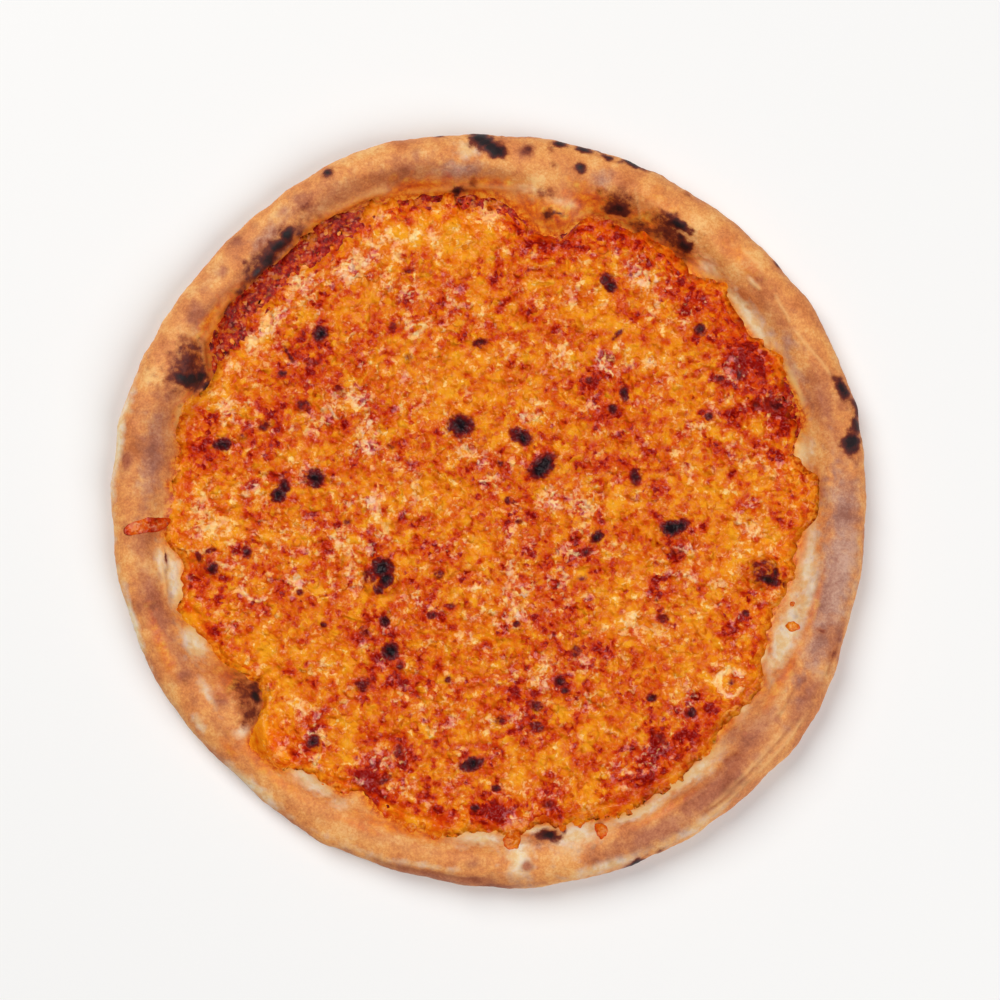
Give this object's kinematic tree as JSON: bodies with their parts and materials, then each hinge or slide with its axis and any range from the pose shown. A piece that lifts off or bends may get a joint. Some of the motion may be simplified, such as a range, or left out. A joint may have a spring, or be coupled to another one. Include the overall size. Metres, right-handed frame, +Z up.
{
  "type": "four cheese pizza",
  "caption": "Whole round pizza with a puffed, spotted crust rim, a thin layer of tomato sauce and a browned sheet of melted cheese.",
  "frame": {"origin": "middle of the flat underside, on the surface that the pizza rests on", "axes": "+Z up, away from the underside; +X to the right and +Y away from the viewer as the pizza is shown"},
  "size_m": [0.3214, 0.321, 0.0207],
  "materials": {
    "crust": "baked dough, satin, with charred blisters",
    "sauce": "cooked tomato, moist",
    "cheese": "melted and browned cheese, oily"
  },
  "bodies": {
    "root": {"crust": "crust", "tomato_sauce": "sauce", "cheese": "cheese", "cheese_streak": "cheese", "cheese_drop_front": "cheese", "cheese_drop_right": "cheese"}
  },
  "joints": []
}
